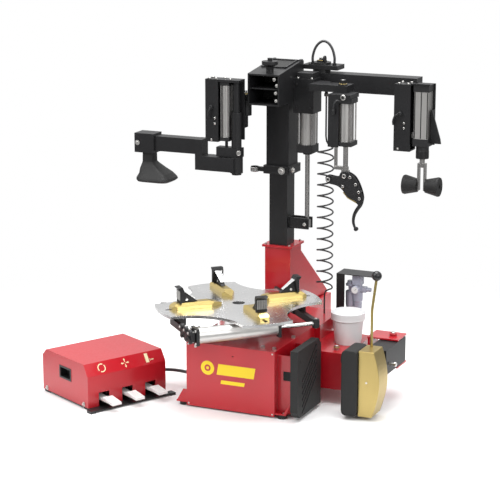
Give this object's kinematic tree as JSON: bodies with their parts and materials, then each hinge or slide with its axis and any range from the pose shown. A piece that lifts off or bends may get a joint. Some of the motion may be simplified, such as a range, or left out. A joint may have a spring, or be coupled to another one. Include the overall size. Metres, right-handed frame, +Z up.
{
  "type": "tire changer",
  "caption": "Swing-arm tire changer with a clamping turntable, bead breaker, lifting head with press, hook and roller arms, and a pedal unit.",
  "frame": {"origin": "centre of the machine's bounding box, on the floor", "axes": "+X to the right along the front panel, +Y from the front panel to the back, +Z up"},
  "size_m": [1.9234, 1.6476, 1.851],
  "materials": {
    "red": "gloss",
    "black": "semi-gloss",
    "rubber": "matte",
    "steel": "brushed",
    "gold": "zinc plated",
    "iron": "rough",
    "white": "matte",
    "black_plastic": "matte",
    "grey": "matte"
  },
  "bodies": {
    "base": {"cabinet_shell": "red", "front_panel": "red", "foot_pads": "rubber", "bead_pad": "rubber", "rear_body": "red", "column_base": "red", "column": "black", "lift_rod": "steel", "gearbox": "iron", "motor": "iron", "frl_bracket": "black", "frl_unit": "grey", "pedal_housing": "red", "pedal_base": "black", "base_bolts": "steel", "pedal_hose": "rubber", "coil_hose": "rubber"},
    "drive": {"drive_pulley": "steel"},
    "turntable": {"turntable_plate": "steel"},
    "slide_a": {"carriage_a": "gold", "jaw_a": "iron", "clamp_barrel_b": "steel", "clamp_rod_a": "steel"},
    "slide_b": {"carriage_b": "gold", "jaw_b": "iron"},
    "slide_c": {"carriage_c": "gold", "jaw_c": "iron", "clamp_barrel_a": "steel", "clamp_rod_b": "steel"},
    "slide_d": {"carriage_d": "gold", "jaw_d": "iron"},
    "head": {"head_sleeve": "black", "head_box": "black", "head_knob": "black_plastic", "lift_barrel": "steel", "top_hose": "rubber"},
    "tool_unit": {"tool_link": "black", "tool_barrel": "steel"},
    "tool_slide": {"tool_rod": "steel"},
    "hook": {"hook_tool": "black"},
    "left_unit": {"left_bracket": "black", "left_barrel": "steel"},
    "left_lift": {"left_slider": "black"},
    "left_swing_arm": {"left_arm": "black"},
    "end_slide": {"end_block": "black"},
    "foot": {"press_foot": "black_plastic"},
    "right_unit": {"right_beam": "black", "right_barrel": "steel"},
    "fork": {"right_fork": "steel"},
    "roller_left": {"roller_a": "rubber"},
    "roller_right": {"roller_b": "rubber"},
    "bead_lever": {"bead_arm": "black"},
    "bead_blade": {"blade": "gold", "blade_cover": "rubber", "bead_handle": "gold"},
    "pedal_left": {"pedal_a": "white"},
    "pedal_middle": {"pedal_b": "white"},
    "pedal_right": {"pedal_c": "white"},
    "regulator": {"frl_knob": "grey"},
    "pail": {"bucket": "white"}
  },
  "joints": [
    {"name": "turntable_spin", "type": "hinge", "parent": "base", "child": "turntable", "pos_m": [0.06175, -0.27623, 0.53], "axis": [0, 0, 1], "continuous": true},
    {"name": "drive_spin", "type": "hinge", "parent": "base", "child": "drive", "pos_m": [0.21175, -0.09623, 0.281], "axis": [0, 0, 1], "continuous": true},
    {"name": "jaw_slide_a", "type": "slide", "parent": "turntable", "child": "slide_a", "axis": [0.7071, 0.7071, 0], "range_m": [-0.09, 0.01]},
    {"name": "jaw_slide_b", "type": "slide", "parent": "turntable", "child": "slide_b", "axis": [-0.7071, 0.7071, 0], "range_m": [-0.09, 0.01]},
    {"name": "jaw_slide_c", "type": "slide", "parent": "turntable", "child": "slide_c", "axis": [-0.7071, -0.7071, 0], "range_m": [-0.09, 0.01]},
    {"name": "jaw_slide_d", "type": "slide", "parent": "turntable", "child": "slide_d", "axis": [0.7071, -0.7071, 0], "range_m": [-0.09, 0.01]},
    {"name": "head_lift", "type": "slide", "parent": "base", "child": "head", "axis": [0, 0, 1], "range_m": [-0.235, 0], "deforming": ["coil_hose"]},
    {"name": "tool_swing", "type": "hinge", "parent": "head", "child": "tool_unit", "pos_m": [0.45275, 0.19377, 1.62], "axis": [0, 0, 1], "range_deg": [-60, 60]},
    {"name": "tool_slide", "type": "slide", "parent": "tool_unit", "child": "tool_slide", "axis": [0, 0, 1], "range_m": [-0.08, 0.09]},
    {"name": "hook_tilt", "type": "hinge", "parent": "tool_slide", "child": "hook", "pos_m": [0.48975, 0.14877, 1.168], "axis": [0, 1, 0], "range_deg": [-20, 20]},
    {"name": "left_swing", "type": "hinge", "parent": "head", "child": "left_unit", "pos_m": [-0.06025, 0.09377, 1.55], "axis": [0, 0, 1], "range_deg": [-75, 4]},
    {"name": "left_lift", "type": "slide", "parent": "left_unit", "child": "left_lift", "axis": [0, 0, 1], "range_m": [-0.12, 0]},
    {"name": "left_arm_swing", "type": "hinge", "parent": "left_lift", "child": "left_swing_arm", "pos_m": [-0.06225, -0.02623, 1.21], "axis": [0, 0, 1], "range_deg": [-30, 45]},
    {"name": "end_slide", "type": "slide", "parent": "left_swing_arm", "child": "end_slide", "axis": [1, 0, 0], "range_m": [0, 0.18]},
    {"name": "foot_turn", "type": "hinge", "parent": "end_slide", "child": "foot", "pos_m": [-0.57825, -0.02623, 1.23], "axis": [0, 0, 1], "range_deg": [-90, 90]},
    {"name": "right_swing", "type": "hinge", "parent": "head", "child": "right_unit", "pos_m": [0.25175, 0.39577, 1.626], "axis": [0, 0, 1], "range_deg": [-12, 75]},
    {"name": "roller_lift", "type": "slide", "parent": "right_unit", "child": "fork", "axis": [0, 0, 1], "range_m": [-0.16, 0]},
    {"name": "roller_spin_a", "type": "hinge", "parent": "fork", "child": "roller_left", "pos_m": [0.81175, 0.30377, 1.115], "axis": [1, 0, 0], "continuous": true},
    {"name": "roller_spin_b", "type": "hinge", "parent": "fork", "child": "roller_right", "pos_m": [0.91175, 0.30377, 1.115], "axis": [1, 0, 0], "continuous": true},
    {"name": "bead_swing", "type": "hinge", "parent": "base", "child": "bead_lever", "pos_m": [0.78175, 0.12377, 0.25], "axis": [0, 0, 1], "range_deg": [-14, 35]},
    {"name": "blade_tilt", "type": "hinge", "parent": "bead_lever", "child": "bead_blade", "pos_m": [0.78175, -0.15623, 0.157], "axis": [1, 0, 0], "range_deg": [-4, 4]},
    {"name": "pedal_press_left", "type": "hinge", "parent": "base", "child": "pedal_left", "pos_m": [-0.62319, -0.63485, 0.05], "axis": [0.4695, 0.8829, 0], "range_deg": [0, 6], "stiffness_Nm_per_rad": 20, "springref_deg": -6.88},
    {"name": "pedal_press_middle", "type": "hinge", "parent": "base", "child": "pedal_middle", "pos_m": [-0.55418, -0.50506, 0.05], "axis": [0.4695, 0.8829, 0], "range_deg": [0, 6], "stiffness_Nm_per_rad": 20, "springref_deg": -6.88},
    {"name": "pedal_press_right", "type": "hinge", "parent": "base", "child": "pedal_right", "pos_m": [-0.48517, -0.37527, 0.05], "axis": [0.4695, 0.8829, 0], "range_deg": [0, 6], "stiffness_Nm_per_rad": 20, "springref_deg": -6.88},
    {"name": "regulator_turn", "type": "hinge", "parent": "base", "child": "regulator", "pos_m": [0.51175, 0.30377, 0.41], "axis": [0, 0, 1], "range_deg": [-150, 150]},
    {"name": "bucket_lift", "type": "slide", "parent": "base", "child": "pail", "axis": [0, 0, 1], "range_m": [0, 0.25]}
  ],
  "couplings": [
    {"joint": "drive_spin", "follows": "turntable_spin", "ratio": 10},
    {"joint": "jaw_slide_b", "follows": "jaw_slide_a", "ratio": 1},
    {"joint": "jaw_slide_c", "follows": "jaw_slide_a", "ratio": 1},
    {"joint": "jaw_slide_d", "follows": "jaw_slide_a", "ratio": 1}
  ]
}
